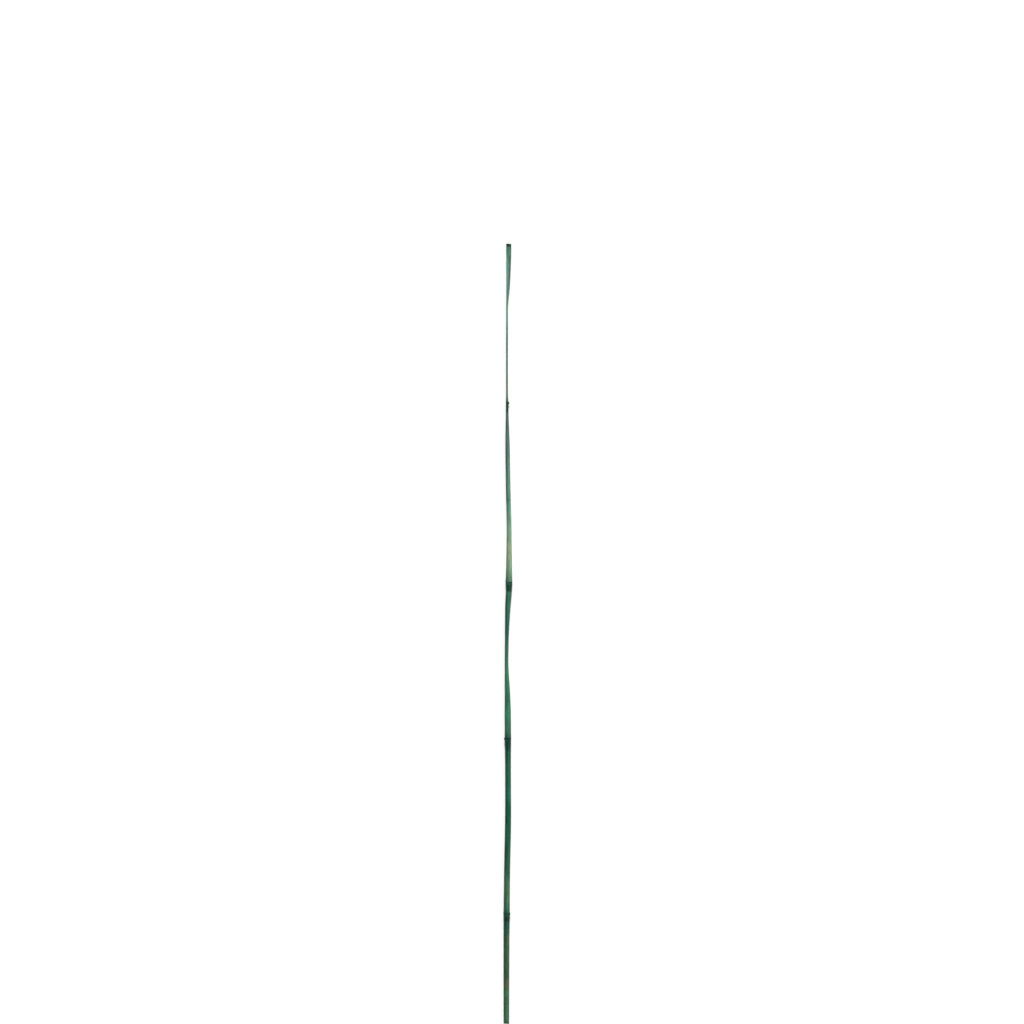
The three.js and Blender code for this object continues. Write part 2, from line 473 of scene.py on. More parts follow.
def skin_relief(s, turn, sizes):
    """Height of the skin over the plain stem, in millimetres, and the marks that colour it."""
    relief = np.zeros_like(s)
    stain = {name: np.zeros_like(s) for name in ("strength", "below", "above", "wax")}
    nearest = np.full_like(s, 99.0)
    stub_mark = np.zeros_like(s)
    rim_mark = np.zeros_like(s)
    for joint, stained in zip(JOINTS, STAINS):
        past = joint_distance(s, turn, joint)
        near = np.abs(s - joint["at"]) < JOINT_REACH
        nearest = np.where(near, past, nearest)
        for name, value in stained.items():
            stain[name] = np.where(near, value, stain[name])
        upper = np.clip(np.cos(turn) * 3 + 2.4, 0, 1)  # the underside keeps its even rings
        uneven = 0.45 * np.clip(np.cos(turn - math.radians(joint["flare"])), -0.3, 1)
        uneven += 0.1 * np.sin(3 * turn + joint["at"]) + 0.07 * np.sin(8 * turn)
        uneven = 1 + upper * uneven
        inside = (past > JOINT_PROFILE[0][0]) & (past < JOINT_PROFILE[-1][0])
        ring = along(JOINT_PROFILE, past) * joint["ring"] * uneven * inside
        relief += ring * sizes.ring_strength
        # The branch was cut off close to the stem: an oval stump with steep sides and a flat top.
        away = turn_from(turn, joint["branch"])
        half_width = 0.5 * float(along(DEPTH, joint["at"]))
        sideways = np.sin(np.clip(away, -1.5, 1.5)) * half_width
        lengthwise = s - joint["at"] - RIDGE_AT + 0.3
        oval = np.hypot(sideways / STUB_SIDEWAYS, lengthwise / STUB_LENGTHWISE)
        oval = np.where(np.abs(away) < 1.4, oval, 9.0)
        rise = 1 - smooth_step(0.72, 1.12, oval)
        tilt = 1 - 0.22 * lengthwise / STUB_LENGTHWISE
        pith = 0.22 * np.exp(-((oval / 0.22) ** 2))
        height = (0.2 + joint["stub"]) * sizes.stub_strength
        relief += height * (rise * tilt - pith)
        stub_mark = np.maximum(stub_mark, 1 - smooth_step(0.7, 0.86, oval))
        rim_mark = np.maximum(rim_mark, np.exp(-(((oval - 0.98) / 0.2) ** 2)))
        # Above each branch the stem is flattened where the bud lay.
        share = np.clip((s - joint["at"] - CHANNEL_START) / (CHANNEL_END - CHANNEL_START), 0, 1)
        facing = np.clip(np.cos(away), 0, 1) ** 3
        relief -= CHANNEL_DEPTH * facing * np.sin(math.pi * share)
    marks = {
        "past_joint": nearest,
        "stain": stain["strength"],
        "into_stain": nearest + stain["below"],
        "out_of_stain": nearest - stain["above"],
        "wax": stain["wax"],
        "branch_cut": stub_mark,
        "branch_rim": rim_mark,
    }
    return relief, marks


def patch_mark(s, turn, patches):
    """Strength of the patches at each point, fading from the middle of each one to its edge."""
    mark = np.zeros_like(s)
    for at, side, half_length, half_turn, strength in patches:
        round_it = turn_from(turn, side) / math.radians(half_turn)
        distance = np.hypot((s - at) / half_length, round_it)
        mark = np.maximum(mark, strength * (1 - smooth_step(0.35, 1.35, distance)))
    return mark


def shrinkage(s):
    """How much of its width the stem lost as it dried, from 0 to about 0.6."""
    return np.clip(1 - along(WIDTH, s) / (0.97 * along(DEPTH, s)), 0, 1)


def section_places():
    """Places along the cane where a section is drawn, closer together at the joints."""
    stretches = []  # where each stretch ends, and the step between its sections
    for joint in JOINTS:
        stretches += [
            (joint["at"] - JOINT_FAR, PLAIN_STEP),
            (joint["at"] - JOINT_NEAR, SHOULDER_STEP),
            (joint["at"] + JOINT_NEAR, JOINT_STEP),
            (joint["at"] + JOINT_FAR, SHOULDER_STEP),
        ]
    stretches.append((LENGTH - CUT_EDGE, PLAIN_STEP))
    places = [CUT_EDGE]
    for end, step in stretches:
        count = round((end - places[-1]) / step)
        places += list(np.linspace(places[-1], end, count + 1)[1:])
    return places


def half_profile(sizes):
    """The outline to spin, as (radius, distance from the butt), from one hollow to the other."""
    butt_bore = sizes.butt_bore / MM / 2
    tip_bore = sizes.tip_bore / MM / 2
    edge = STEM_RADIUS - CUT_EDGE
    outline = [(0.0, BUTT_HOLLOW), (butt_bore * 0.45, BUTT_HOLLOW - 0.4)]
    outline += [(butt_bore * 0.85, BUTT_HOLLOW - 1.6)]
    outline += [(butt_bore, s) for s in BUTT_RINGS]
    outline += [(butt_bore, 0.35), (butt_bore + BORE_ROUND, 0.0)]
    outline += [(r, 0.0) for r in np.linspace(butt_bore + BORE_ROUND, edge, 8)[1:]]
    outline += [(STEM_RADIUS - RIM_ROUND, RIM_ROUND)]
    outline += [(STEM_RADIUS, s) for s in section_places()]
    outline += [(STEM_RADIUS - RIM_ROUND, LENGTH - RIM_ROUND)]
    outline += [(r, LENGTH) for r in np.linspace(edge, tip_bore + BORE_ROUND, 7)]
    outline += [(tip_bore, LENGTH - 0.35)]
    outline += [(tip_bore * 0.95, LENGTH - d) for d in TIP_RINGS]
    outline += [(tip_bore * 0.7, LENGTH - TIP_HOLLOW + 1.6)]
    outline += [(tip_bore * 0.35, LENGTH - TIP_HOLLOW + 0.4), (0.0, LENGTH - TIP_HOLLOW)]
    return outline


def spun_stem(sizes):
    """Draws the outline by extruding a single point along it, and spins it round the stem."""
    outline = half_profile(sizes)
    radius, start = outline[0]
    bpy.ops.object.select_all(action="DESELECT")
    bpy.ops.mesh.primitive_plane_add(size=0.01, location=(0, 0, 0))
    cane = bpy.context.active_object
    cane.name = cane.data.name = "cane"
    bpy.ops.object.mode_set(mode="EDIT")
    bpy.ops.mesh.select_all(action="SELECT")
    bpy.ops.mesh.merge(type="CENTER")
    bpy.ops.transform.translate(value=(0.0, start * MM, radius * MM))
    for (r0, s0), (r1, s1) in zip(outline, outline[1:]):
        step = (0.0, (s1 - s0) * MM, (r1 - r0) * MM)
        bpy.ops.mesh.extrude_region_move(TRANSFORM_OT_translate={"value": step})
    bpy.ops.mesh.select_all(action="SELECT")
    bpy.ops.mesh.spin(steps=sizes.sides, angle=2 * math.pi, center=(0, 0, 0), axis=(0, 1, 0))
    bpy.ops.mesh.select_all(action="SELECT")
    bpy.ops.mesh.remove_doubles(threshold=0.004 * MM)
    bpy.ops.mesh.normals_make_consistent(inside=False)
    bpy.ops.object.mode_set(mode="OBJECT")
    return cane


def write_attribute(mesh, name, kind, values):
    attribute = mesh.attributes.new(name, kind, "POINT")
    field = "vector" if kind == "FLOAT_VECTOR" else "value"
    attribute.data.foreach_set(field, np.asarray(values, np.float32).ravel())


def shape_stem(cane, sizes):
    """Gives every section its width, depth, relief and place, and stores the marks on it."""
    mesh = cane.data
    spun = np.empty(len(mesh.vertices) * 3)
    mesh.vertices.foreach_get("co", spun)
    spun = spun.reshape(-1, 3) / MM
    s, radius = spun[:, 1], np.hypot(spun[:, 0], spun[:, 2])
    turn = np.arctan2(spun[:, 0], spun[:, 2])
    share = radius / STEM_RADIUS
    skin = radius > STEM_RADIUS - 0.01

    relief, marks = skin_relief(s, turn, sizes)
    shrunk = shrinkage(s)
    quiet = np.clip(np.minimum(s, LENGTH - s) / 6, 0, 1)
    ribs = rib_waves(s, turn, (13, 17, 19, 23, 26), 0.012, 11)
    swells = rib_waves(s, turn, (2, 3, 5), 0.02, 5)
    folds = rib_waves(s, turn, (7, 9, 12), 0.02, 3)
    relief += quiet * sizes.rib_depth / MM * ribs
    relief += quiet * SWELL_HEIGHT * swells
    relief += FOLD_HEIGHT * shrunk * folds
    side = np.abs(np.sin(turn)) ** 5
    relief -= sizes.furrow_depth / MM * np.clip(shrunk / 0.5, 0, 1) * side
    relief *= skin

    # The saw left the rim slightly ragged and the faces rough.
    ragged = rib_waves(s * 0, turn, (5, 11, 19, 31), 0.1, 8)
    butt_share = np.clip(1 - s / SAW_REACH, 0, 1)
    tip_share = np.clip(1 - (LENGTH - s) / SAW_REACH, 0, 1)
    rough = rib_waves(s * 0 + 9 * radius, turn, (3, 8, 14), 0.6, 21)
    faces = ~skin & (radius > 1.1)
    cut_shift = 0.1 * np.clip(ragged, -0.3, 2) * (tip_share - butt_share) * (share > 0.7)
    cut_shift += 0.05 * rough * faces * (butt_share + tip_share)

    width, depth = along(WIDTH, s) / 2, along(DEPTH, s) / 2
    x = np.sin(turn) * (share * width + relief)
    z = np.cos(turn) * (share * depth + relief)
    lean = BUTT_CUT_SLOPE * np.clip(1 - s / CUT_REACH, 0, 1)
    lean += TIP_CUT_SLOPE * np.clip(1 - (LENGTH - s) / CUT_REACH, 0, 1)
    placed = np.stack(
        (x + along(SIDE_BEND, s), s + lean * x + cut_shift, z + centre_height(s)),
        axis=1,
    )
    placed *= MM
    low, high = placed.min(0), placed.max(0)
    middle = (CANE_LOW + CANE_HIGH) / 2
    placed[:, 0] += middle.x - (low[0] + high[0]) / 2
    placed[:, 1] += middle.y - (low[1] + high[1]) / 2
    placed[:, 2] += CANE_LOW.z - low[2]
    mesh.vertices.foreach_set("co", placed.ravel())

    # Straightened coordinates for the patterns, in metres, and the marks that colour the skin.
    write_attribute(mesh, "grown", "FLOAT_VECTOR", spun * MM)
    for name, mark in marks.items():
        write_attribute(mesh, name, "FLOAT", mark)
    write_attribute(mesh, "shrunk", "FLOAT", shrunk)
    write_attribute(mesh, "crest", "FLOAT", np.clip(relief / 0.4, 0, 1))
    # The dark marks include painted shade on the -X side, and the light marks painted light on the
    # +X side, besides dye.
    for name, patches in (
        ("brown", BROWN_PATCHES),
        ("moss", MOSS_PATCHES),
        ("dark", DARK_AND_SHADED_PATCHES),
        ("light", LIGHT_AND_LIT_PATCHES),
        ("mould", MOULD_PATCHES),
    ):
        write_attribute(mesh, name, "FLOAT", patch_mark(s, turn, patches))
    mesh.update()
    return spun


def wear_materials(cane, spun, materials):
    """Skin outside, cut wood on the sawn faces, and pith in the hollows."""
    mesh = cane.data
    for material in materials:
        mesh.materials.append(material)
    radius = np.hypot(spun[:, 0], spun[:, 2])
    for face in mesh.polygons:
        reach = radius[list(face.vertices)]
        if reach.mean() > STEM_RADIUS - 0.05:
            face.material_index = SKIN
        elif reach.max() < HOLLOW_REACH:
            face.material_index = HOLLOW
        else:
            face.material_index = CUT


def face_numbers(mesh, field):
    numbers = np.empty(len(mesh.polygons), np.int32)
    mesh.polygons.foreach_get(field, numbers)
    return numbers


def lay_out_map(cane, spun):
    """Unrolls the skin into strips side by side, with the cut faces and hollows beside them."""
    mesh = cane.data
    layer = mesh.uv_layers.new(name="OFBake")
    corner = np.empty(len(mesh.loops), np.int32)
    mesh.loops.foreach_get("vertex_index", corner)
    first = face_numbers(mesh, "loop_start")
    count = face_numbers(mesh, "loop_total")
    face = np.repeat(np.arange(len(first)), count)
    turn = np.arctan2(spun[:, 0], spun[:, 2])[corner]
    s = spun[:, 1][corner]
    radius = np.hypot(spun[:, 0], spun[:, 2])[corner]
    # A face across the seam has its corners brought to one side of it.
    lead = turn[first][face]
    turn = np.where(turn - lead > math.pi, turn - 2 * math.pi, turn)
    turn = np.where(turn - lead < -math.pi, turn + 2 * math.pi, turn)
    low = np.minimum.reduceat(turn, first)[face]
    turn = turn - 2 * math.pi * (low > math.pi - 1e-4)
    share = np.clip((turn + math.pi) / (2 * math.pi), 0, 1)
    middle = (np.add.reduceat(s, first) / count)[face]
    strip_length = LENGTH / SKIN_STRIPS
    strip = np.clip(np.floor(middle / strip_length), 0, SKIN_STRIPS - 1)
    scale = MAP_FILL / strip_length
    strip_width = 2 * math.pi * STEM_RADIUS * scale
    u = STRIP_GAP + strip * (strip_width + STRIP_GAP) + share * strip_width
    v = MAP_EDGE + (s - strip * strip_length) * scale
    beside = MAP_EDGE + SKIN_STRIPS * (strip_width + STRIP_GAP)
    tip = middle > LENGTH / 2
    disc_u = beside + DISC_IN + radius * np.sin(turn) * scale
    disc_v = np.where(tip, TIP_DISC_UP, BUTT_DISC_UP) + radius * np.cos(turn) * scale
    bore_width = np.where(tip, TIP_BORE_WIDE, BUTT_BORE_WIDE)
    bore_u = beside + np.where(tip, TIP_BORE_IN, 0.0) + share * bore_width
    bore_v = BORE_UP + np.where(tip, LENGTH - s, s) * scale
    kind = face_numbers(mesh, "material_index")[face]
    u = np.where(kind == CUT, disc_u, np.where(kind == HOLLOW, bore_u, u))
    v = np.where(kind == CUT, disc_v, np.where(kind == HOLLOW, bore_v, v))
    layer.data.foreach_set("uv", np.stack((u, v), axis=1).astype(np.float32).ravel())


# ------------------------------------------------------------------------------------------------
# Materials


class Tree:
    """A node tree being built: add() makes a node, and mix(), maths() and so on wire one in."""

    def __init__(self, tree):
        self.tree = tree
        self.column = 0

    def add(self, kind, **settings):
        node = self.tree.nodes.new(kind)
        node.location = (self.column * 180, -120 * (self.column % 5))
        self.column += 1
        for name, value in settings.items():
            setattr(node, name, value)
        return node

    def feed(self, socket, value):
        if isinstance(value, bpy.types.NodeSocket):
            self.tree.links.new(value, socket)
        elif socket.type == "RGBA":
            socket.default_value = (*value, 1.0)
        else:
            socket.default_value = value

    def maths(self, operation, *values):
        node = self.add("ShaderNodeMath", operation=operation)
        for socket, value in zip(node.inputs, values):
            self.feed(socket, value)
        return node.outputs[0]

    def times(self, first, second):
        return self.maths("MULTIPLY", first, second)

    def times_plus(self, first, second, added):
        return self.maths("MULTIPLY_ADD", first, second, added)

    def mix(self, share, first, second, blend="MIX"):
        node = self.add("ShaderNodeMix", data_type="RGBA", blend_type=blend)
        self.feed(node.inputs[0], share)
        self.feed(node.inputs[6], first)
        self.feed(node.inputs[7], second)
        return node.outputs[2]

    def spread(self, value, low, high, to_low=0.0, to_high=1.0):
        node = self.add("ShaderNodeMapRange", interpolation_type="SMOOTHSTEP")
        for socket, number in zip(node.inputs, (value, low, high, to_low, to_high)):
            self.feed(socket, number)
        return node.outputs[0]

    def noise(self, vector, detail=2.0, roughness=0.5, distortion=0.0):
        node = self.add("ShaderNodeTexNoise")
        self.feed(node.inputs["Vector"], vector)
        node.inputs["Scale"].default_value = 1.0
        node.inputs["Detail"].default_value = detail
        node.inputs["Roughness"].default_value = roughness
        node.inputs["Distortion"].default_value = distortion
        return node.outputs["Fac"]

    def cells(self, vector):
        node = self.add("ShaderNodeTexVoronoi", feature="F1")
        self.feed(node.inputs["Vector"], vector)
        node.inputs["Scale"].default_value = 1.0
        return node.outputs

    def stretched(self, vector, across, lengthwise, shift=0.0):
        """The coordinates counted in steps: one step is across wide and lengthwise long."""
        node = self.add("ShaderNodeMapping", vector_type="POINT")
        self.feed(node.inputs["Vector"], vector)
        node.inputs["Location"].default_value = (shift, shift * 1.7, shift * 0.6)
        node.inputs["Scale"].default_value = (1 / across, 1 / lengthwise, 1 / across)
        return node.outputs[0]

    def toned(self, colour, tone):
        """The colour made lighter or darker by a tone."""
        grey = self.add("ShaderNodeCombineColor")
        for socket in grey.inputs[:3]:
            self.feed(socket, tone)
        return self.mix(1.0, colour, grey.outputs[0], blend="MULTIPLY")

    def attribute(self, name, output="Fac"):
        node = self.add("ShaderNodeAttribute", attribute_name=name)
        return node.outputs[output]


def fill_ramp(ramp, stops):
    while len(ramp.elements) > 1:
        ramp.elements.remove(ramp.elements[-1])
    ramp.elements[0].position = stops[0][0]
    for at, _ in stops[1:]:
        ramp.elements.new(at)
    for element, (_, colour) in zip(ramp.elements, stops):
        element.color = (*colour, 1.0)


def new_group(name, settings, outputs):
    """An empty shader node group that reads a place and these settings, and its two ends."""
    group = bpy.data.node_groups.new(name, "ShaderNodeTree")

    def socket(title, way, kind="NodeSocketFloat"):
        return group.interface.new_socket(name=title, in_out=way, socket_type=kind)

    socket("Place", "INPUT", "NodeSocketVector")
    for title, default in settings.items():
        socket(title, "INPUT").default_value = default
    for title in outputs:
        socket(title, "OUTPUT")
    tree = Tree(group)
    return group, tree, tree.add("NodeGroupInput"), tree.add("NodeGroupOutput")


def fibre_group():
    """Lengthwise fibres of cane: long light and dark streaks, and the height to go with them."""
    group, t, start, end = new_group("Fibre grain", {"Contrast": 0.3}, ("Tone", "Height"))
    place, contrast = start.outputs["Place"], start.outputs["Contrast"]
    fine = t.noise(t.stretched(place, 0.16 * MM, 14 * MM), detail=3.0, roughness=0.6)
    broad = t.noise(t.stretched(place, 0.7 * MM, 34 * MM, 3.1), detail=2.0)
    both = t.maths("ADD", t.times(fine, 0.55), t.times(broad, 0.45))
    swing = t.times(t.maths("SUBTRACT", both, 0.5), contrast)
    tone = t.times_plus(swing, 3.2, 1.0)
    t.feed(end.inputs["Tone"], tone)
    t.feed(end.inputs["Height"], fine)
    return group


def patch_group():
    """Uneven patches, longer than they are wide, where the dye took well or badly."""
    settings = {"Shift": 0.0, "Level": 0.5, "Softness": 0.12}
    group, t, start, end = new_group("Dye patches", settings, ("Patch",))
    place = start.outputs["Place"]
    offset = t.add("ShaderNodeCombineXYZ")
    for socket in offset.inputs:
        t.feed(socket, start.outputs["Shift"])
    moved = t.add("ShaderNodeVectorMath", operation="ADD")
    t.feed(moved.inputs[0], t.stretched(place, 2.6 * MM, 16 * MM))
    t.feed(moved.inputs[1], offset.outputs[0])
    wide = t.noise(moved.outputs[0], detail=4.0, roughness=0.62, distortion=0.4)
    low = t.maths("SUBTRACT", start.outputs["Level"], start.outputs["Softness"])
    high = t.maths("ADD", start.outputs["Level"], start.outputs["Softness"])
    t.feed(end.inputs["Patch"], t.spread(wide, low, high))
    return group


def speck_group():
    """Small scattered spots, of different sizes."""
    group, t, start, end = new_group("Specks", {"Size": 0.2, "Share": 0.3}, ("Speck",))
    place = t.stretched(start.outputs["Place"], 1.6 * MM, 2.4 * MM)
    cells = t.cells(place)
    edge = t.noise(t.stretched(start.outputs["Place"], 0.3 * MM, 0.4 * MM), detail=2.0)
    far = t.times_plus(edge, 0.16, cells["Distance"])
    dot = t.spread(far, start.outputs["Size"], t.maths("ADD", start.outputs["Size"], 0.08), 1, 0)
    pick = t.add("ShaderNodeSeparateColor")
    t.feed(pick.inputs[0], cells["Color"])
    chosen = t.maths("LESS_THAN", pick.outputs[0], start.outputs["Share"])
    t.feed(end.inputs["Speck"], t.times(dot, chosen))
    return group


def bundle_group():
    """The ends of the fibre bundles on a cross cut: dots, closer together towards the skin."""
    group, t, start, end = new_group("Fibre bundles", {}, ("Dots", "Rim"))
    parts = t.add("ShaderNodeSeparateXYZ")
    t.feed(parts.inputs[0], start.outputs["Place"])
    out = t.maths("POWER", parts.outputs[0], 2.0)
    up = t.maths("POWER", parts.outputs[2], 2.0)
    radius = t.times(t.maths("SQRT", t.maths("ADD", out, up)), 1 / MM)
    rim = t.spread(radius, STEM_RADIUS * 0.62, STEM_RADIUS * 0.98)
    flat = t.stretched(start.outputs["Place"], 0.34 * MM, 4 * MM)
    cells = t.cells(flat)
    reach = t.times_plus(rim, 0.2, 0.26)
    dots = t.spread(cells["Distance"], t.times(reach, 0.7), reach, 1, 0)
    t.feed(end.inputs["Dots"], dots)
    t.feed(end.inputs["Rim"], rim)
    return group


def use_group(tree, group, **values):
    node = tree.add("ShaderNodeGroup", node_tree=group)
    for name, value in values.items():
        tree.feed(node.inputs[name.replace("_", " ")], value)
    return node.outputs


def new_material(name):
    material = bpy.data.materials.new(name)
    material.use_nodes = True
    material.node_tree.nodes.clear()
    tree = Tree(material.node_tree)
    shader = tree.add("ShaderNodeBsdfPrincipled")
    output = tree.add("ShaderNodeOutputMaterial")
    tree.feed(output.inputs["Surface"], shader.outputs[0])
    return material, tree, shader


def add_bump(tree, shader, height, strength, distance):
    bump = tree.add("ShaderNodeBump")
    bump.inputs["Strength"].default_value = strength
    bump.inputs["Distance"].default_value = distance
    tree.feed(bump.inputs["Height"], height)
    tree.feed(shader.inputs["Normal"], bump.outputs[0])


def dyed_skin(colours, groups):
    """Waxy skin, dyed green: the dye differs along the stem and gathers at the joints, and one
    side has painted shade and the other painted light.
    """
    material, t, shader = new_material("dyed_skin")
    place = t.attribute("grown", "Vector")
    past = t.attribute("past_joint")
    shrunk = t.attribute("shrunk")
    crest = t.attribute("crest")

    parts = t.add("ShaderNodeSeparateXYZ")
    t.feed(parts.inputs[0], place)
    across, lengthwise = parts.outputs[0], parts.outputs[1]
    drift = t.noise(t.stretched(place, 3 * MM, 40 * MM, 8.0), detail=2.0)
    wander = t.times(t.maths("SUBTRACT", drift, 0.5), 0.016)
    share = t.maths("ADD", t.maths("DIVIDE", lengthwise, LENGTH * MM), wander)
    dye = t.add("ShaderNodeValToRGB")
    t.feed(dye.inputs[0], share)
    stops = [(s / LENGTH, getattr(colours, name)) for s, name in DYE_STRETCHES]
    fill_ramp(dye.color_ramp, stops)
    colour = dye.outputs[0]

    # Patches on one side, each with an edge broken up along the fibres.
    broken = t.noise(t.stretched(place, 0.8 * MM, 7 * MM, 2.0), detail=4.0, roughness=0.65)
    offset = t.times(t.maths("SUBTRACT", broken, 0.5), 1.5)

    def patchy(name, low=0.25, high=0.75):
        mark = t.attribute(name)
        inside = t.times(t.maths("MINIMUM", t.times(mark, 3.0), 1.0), offset)
        return t.times(t.spread(t.maths("ADD", mark, inside), low, high), mark)

    brown, moss = patchy("brown"), patchy("moss")
    colour = t.mix(t.times(moss, 0.4), colour, colours.bare_moss)
    colour = t.mix(t.times(brown, 0.42), colour, colours.bare_brown)

    # Painted light and shade: the skin is lighter towards +X and darker towards -X, the other way
    # round near the tip, as light from one side would fall on it. The dye is also uneven
    # everywhere.
    pale = use_group(t, groups["patch"], Place=place, Shift=4.2, Level=0.58, Softness=0.1)
    deep = use_group(t, groups["patch"], Place=place, Shift=17.0, Level=0.56, Softness=0.14)
    fibre = use_group(t, groups["fibre"], Place=place, Contrast=0.5)
    # Painted light and shade: which side is lit, flipped near the tip.
    toward_light = t.times(across, t.spread(lengthwise, 0.832, 0.856, 1.0, -1.0))
    side = t.times_plus(t.maths("SUBTRACT", drift, 0.5), 4.8 * MM, toward_light)
    painted_side_shading = t.spread(side, -STEM_RADIUS * MM * 1.05, STEM_RADIUS * MM * 0.9, 0.58, 1.2)
    uneven = t.times_plus(deep["Patch"], -0.3, painted_side_shading)
    uneven = t.times_plus(pale["Patch"], 0.22, uneven)
    # Light patches: paler dye, and painted light on the +X side.
    uneven = t.times_plus(patchy("light"), 0.35, uneven)
    # Dark patches: dark dye, and painted shade along the -X side.
    uneven = t.times_plus(patchy("dark"), -0.5, uneven)
    colour = t.toned(colour, t.times(t.maths("MAXIMUM", uneven, 0.15), fibre["Tone"]))
    for at in PRESSURE_LINES:
        line = t.maths("ABSOLUTE", t.maths("SUBTRACT", lengthwise, at * MM))
        line = t.times(t.spread(line, 0.3 * MM, 1.1 * MM, 0.95, 0.0), broken)
        colour = t.mix(line, colour, colours.joint_stain)

    # Dark dye at each joint: cut off sharply above the ridge, and fading downwards.
    ragged = t.maths("SUBTRACT", broken, 0.5)
    strength = t.attribute("stain")
    into, out_of = t.attribute("into_stain"), t.attribute("out_of_stain")
    below = t.spread(t.times_plus(ragged, 10.0, into), -3.0, 2.5)
    above = t.spread(t.times_plus(ragged, 2.5, out_of), -0.6, 0.6, 1, 0)
    veil = t.spread(t.times_plus(ragged, 9.0, out_of), -1.0, 6.0, 0.35, 0)
    tint = t.spread(past, -32.0, -12.0, 0.0, 0.35)
    collar = t.times(t.times(below, above), strength)
    collar = t.maths("MAXIMUM", collar, t.times(t.times(tint, above), broken))
    collar = t.maths("MAXIMUM", collar, t.times(veil, below))
    to_tip = t.maths("SUBTRACT", LENGTH * MM, lengthwise)
    tip_stain = t.times_plus(ragged, 5 * MM, to_tip)
    tip_veil = t.spread(tip_stain, 3.5 * MM, 12 * MM, 0.3, 0.0)
    tip_stain = t.spread(tip_stain, 2.4 * MM, 4.8 * MM, 0.95, 0.0)
    tip_stain = t.maths("MAXIMUM", tip_stain, tip_veil)
    butt_stain = t.times_plus(ragged, 3 * MM, lengthwise)
    butt_stain = t.spread(butt_stain, 0.8 * MM, 2.0 * MM, 0.8, 0.0)
    collar = t.maths("MAXIMUM", collar, t.maths("MAXIMUM", tip_stain, butt_stain))
    colour = t.mix(collar, colour, colours.joint_stain)
    colour = t.mix(t.times(patchy("mould"), 0.6), colour, colours.speck)
    groove = t.maths("ABSOLUTE", t.maths("ADD", past, 0.5))
    crumbs = t.noise(t.stretched(place, 1.5 * MM, 0.5 * MM, 6.0), detail=3.0)
    wax = t.times(t.spread(groove, 0.2, 0.7, 1, 0), t.spread(crumbs, 0.42, 0.6))
    wax = t.times(wax, t.attribute("wax"))
    colour = t.mix(t.times(wax, 0.7), colour, colours.groove_wax)

    # Rubbed crests, trimmed branches, mould specks and long fine scratches.
    rub = t.times(t.spread(crest, 0.8, 1.0), t.spread(broken, 0.52, 0.7))
    colour = t.mix(t.times(rub, 0.3), colour, colours.groove_wax)
    rim = t.times(t.attribute("branch_rim"), 0.6)
    colour = t.mix(rim, colour, colours.joint_stain)
    outward = t.stretched(place, 1.0, 1 / 12)  # the branch grew out sideways
    bundles = use_group(t, groups["bundle"], Place=outward)
    wood = t.mix(bundles["Dots"], colours.cut_wood, colours.cut_fibre)
    wood = t.mix(0.84, wood, colours.joint_stain)
    colour = t.mix(t.attribute("branch_cut"), colour, wood)
    specks = use_group(t, groups["speck"], Place=place, Size=0.17, Share=0.2)
    spotted = t.times_plus(collar, 0.5, 0.45)
    colour = t.mix(t.times(specks["Speck"], spotted), colour, colours.speck)
    hair = t.noise(t.stretched(place, 0.2 * MM, 9 * MM, 12.0), detail=1.0)
    where = t.noise(t.stretched(place, 2 * MM, 20 * MM, 5.0), detail=1.0)
    scratch = t.times(t.spread(hair, 0.68, 0.74), t.spread(where, 0.5, 0.62))
    scratch = t.times(scratch, t.maths("SUBTRACT", 1.0, collar))
    colour = t.mix(t.times(scratch, 0.28), colour, colours.rubbed_skin)
    t.feed(shader.inputs["Base Color"], colour)

    dull = t.times_plus(pale["Patch"], 0.08, 0.36)
    dull = t.times_plus(shrunk, 0.2, dull)
    dull = t.times_plus(scratch, 0.2, dull)
    dull = t.times_plus(collar, -0.06, dull)
    dull = t.times_plus(t.spread(groove, 0.3, 1.0, 0.3, 0.0), 1.0, dull)
    t.feed(shader.inputs["Roughness"], t.times_plus(specks["Speck"], 0.2, dull))
    shader.inputs["Specular IOR Level"].default_value = 0.27
    shader.inputs["Coat Weight"].default_value = 0.05
    shader.inputs["Coat Roughness"].default_value = 0.25
    height = t.times_plus(scratch, -0.6, fibre["Height"])
    height = t.times_plus(specks["Speck"], 0.3, height)
    add_bump(t, shader, height, 0.5, 0.05 * MM)
    return material


def sawn_wood(colours, groups):
    """Cross cut cane: fibre bundles as dots, the dye soaked in from the skin, and dirt."""
    material, t, shader = new_material("sawn_wood")
    place = t.attribute("grown", "Vector")
    bundles = use_group(t, groups["bundle"], Place=place)
    stain = use_group(t, groups["patch"], Place=place, Shift=2.0, Level=0.5, Softness=0.15)
    colour = t.mix(bundles["Dots"], colours.cut_wood, colours.cut_fibre)
    soaked = t.times_plus(bundles["Rim"], 0.7, t.times(stain["Patch"], 0.3))
    colour = t.mix(t.maths("MINIMUM", soaked, 0.9), colour, colours.joint_stain)
    specks = use_group(t, groups["speck"], Place=place, Size=0.2, Share=0.3)
    colour = t.mix(t.times(specks["Speck"], 0.6), colour, colours.speck)
    t.feed(shader.inputs["Base Color"], colour)
    t.feed(shader.inputs["Roughness"], t.times_plus(bundles["Dots"], 0.1, 0.75))
    grit = t.noise(t.stretched(place, 0.08 * MM, 0.08 * MM), detail=3.0)
    height = t.times_plus(bundles["Dots"], 0.8, grit)
    add_bump(t, shader, height, 0.6, 0.06 * MM)
    return material


